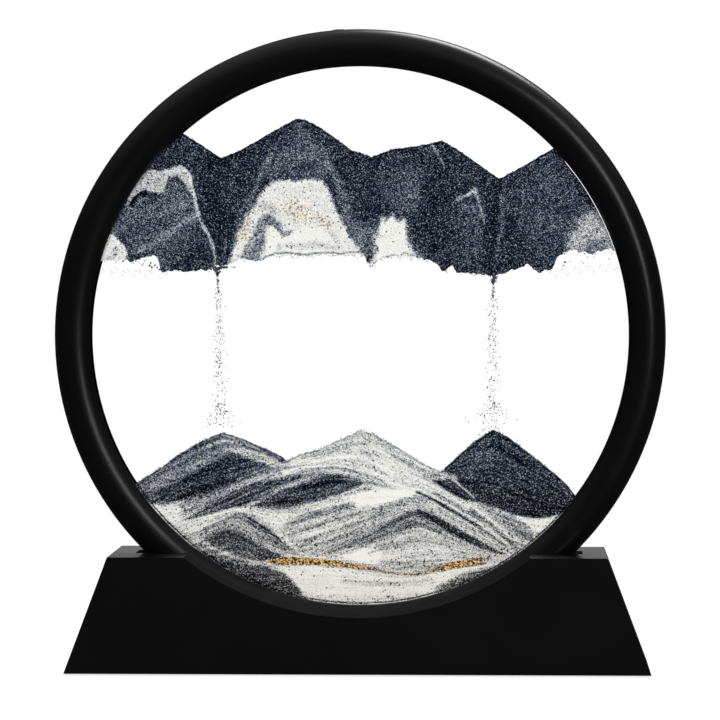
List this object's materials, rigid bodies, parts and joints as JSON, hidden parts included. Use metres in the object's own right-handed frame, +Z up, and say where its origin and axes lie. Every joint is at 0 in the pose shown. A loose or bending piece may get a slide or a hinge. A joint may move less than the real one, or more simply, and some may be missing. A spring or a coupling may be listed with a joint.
{
  "type": "moving sand art frame",
  "caption": "Round two-pane sand picture in a black rim, turned by hand in the arc trough of a black trapezoid base so that coloured sand falls through liquid.",
  "frame": {"origin": "on the table, under the middle of the base", "axes": "+X to the right seen from the front, +Y towards the back, +Z up; the round frame turns about Y"},
  "size_m": [0.178, 0.048, 0.1862],
  "materials": {
    "base_plastic": "satin",
    "cover_plastic": "matte",
    "rim_plastic": "satin",
    "spacer_plastic": "satin",
    "liner_felt": "matte",
    "foot_rubber": "matte",
    "screw_steel": "satin",
    "pane_glass": "polished",
    "silicone": "satin",
    "liquid": "polished",
    "trapped_air": "polished",
    "sand_navy": "matte",
    "sand_grey": "matte",
    "sand_pale": "matte",
    "sand_gold": "satin"
  },
  "bodies": {
    "base": {"base_shell": "base_plastic", "bottom_cover": "cover_plastic", "cradle_liner": "liner_felt", "cover_screw_1": "screw_steel", "cover_screw_2": "screw_steel", "cover_screw_3": "screw_steel", "cover_screw_4": "screw_steel", "foot_1": "foot_rubber", "foot_2": "foot_rubber", "foot_3": "foot_rubber", "foot_4": "foot_rubber"},
    "round_frame": {"front_rim": "rim_plastic", "rear_rim": "rim_plastic", "front_glass": "pane_glass", "rear_glass": "pane_glass", "spacer_ring": "spacer_plastic", "front_seal": "silicone", "rear_seal": "silicone", "fill_plug": "silicone", "liquid_fill": "liquid", "trapped_air_left": "trapped_air", "trapped_air_right": "trapped_air", "sand_bank": "sand_navy", "sand_ridge_left": "sand_pale", "sand_slope_left": "sand_navy", "sand_patch_left": "sand_pale", "sand_lens_centre": "sand_pale", "sand_lens_right": "sand_pale", "sand_patch_right": "sand_grey", "sand_dune_left": "sand_navy", "sand_dune_right": "sand_navy", "sand_dune_centre": "sand_grey", "sand_dark_band": "sand_navy", "sand_pale_drift": "sand_grey", "sand_mound_left": "sand_grey", "sand_mound_right": "sand_grey", "sand_gold_seam": "sand_gold", "sand_bed": "sand_pale", "sand_drift_left": "sand_navy", "sand_drift_right": "sand_grey", "sand_stream_left": "sand_navy", "sand_stream_right": "sand_navy"}
  },
  "joints": [
    {"name": "frame_turn", "type": "hinge", "parent": "base", "child": "round_frame", "pos_m": [0, 0, 0.0972], "axis": [0, 1, 0], "continuous": true}
  ]
}
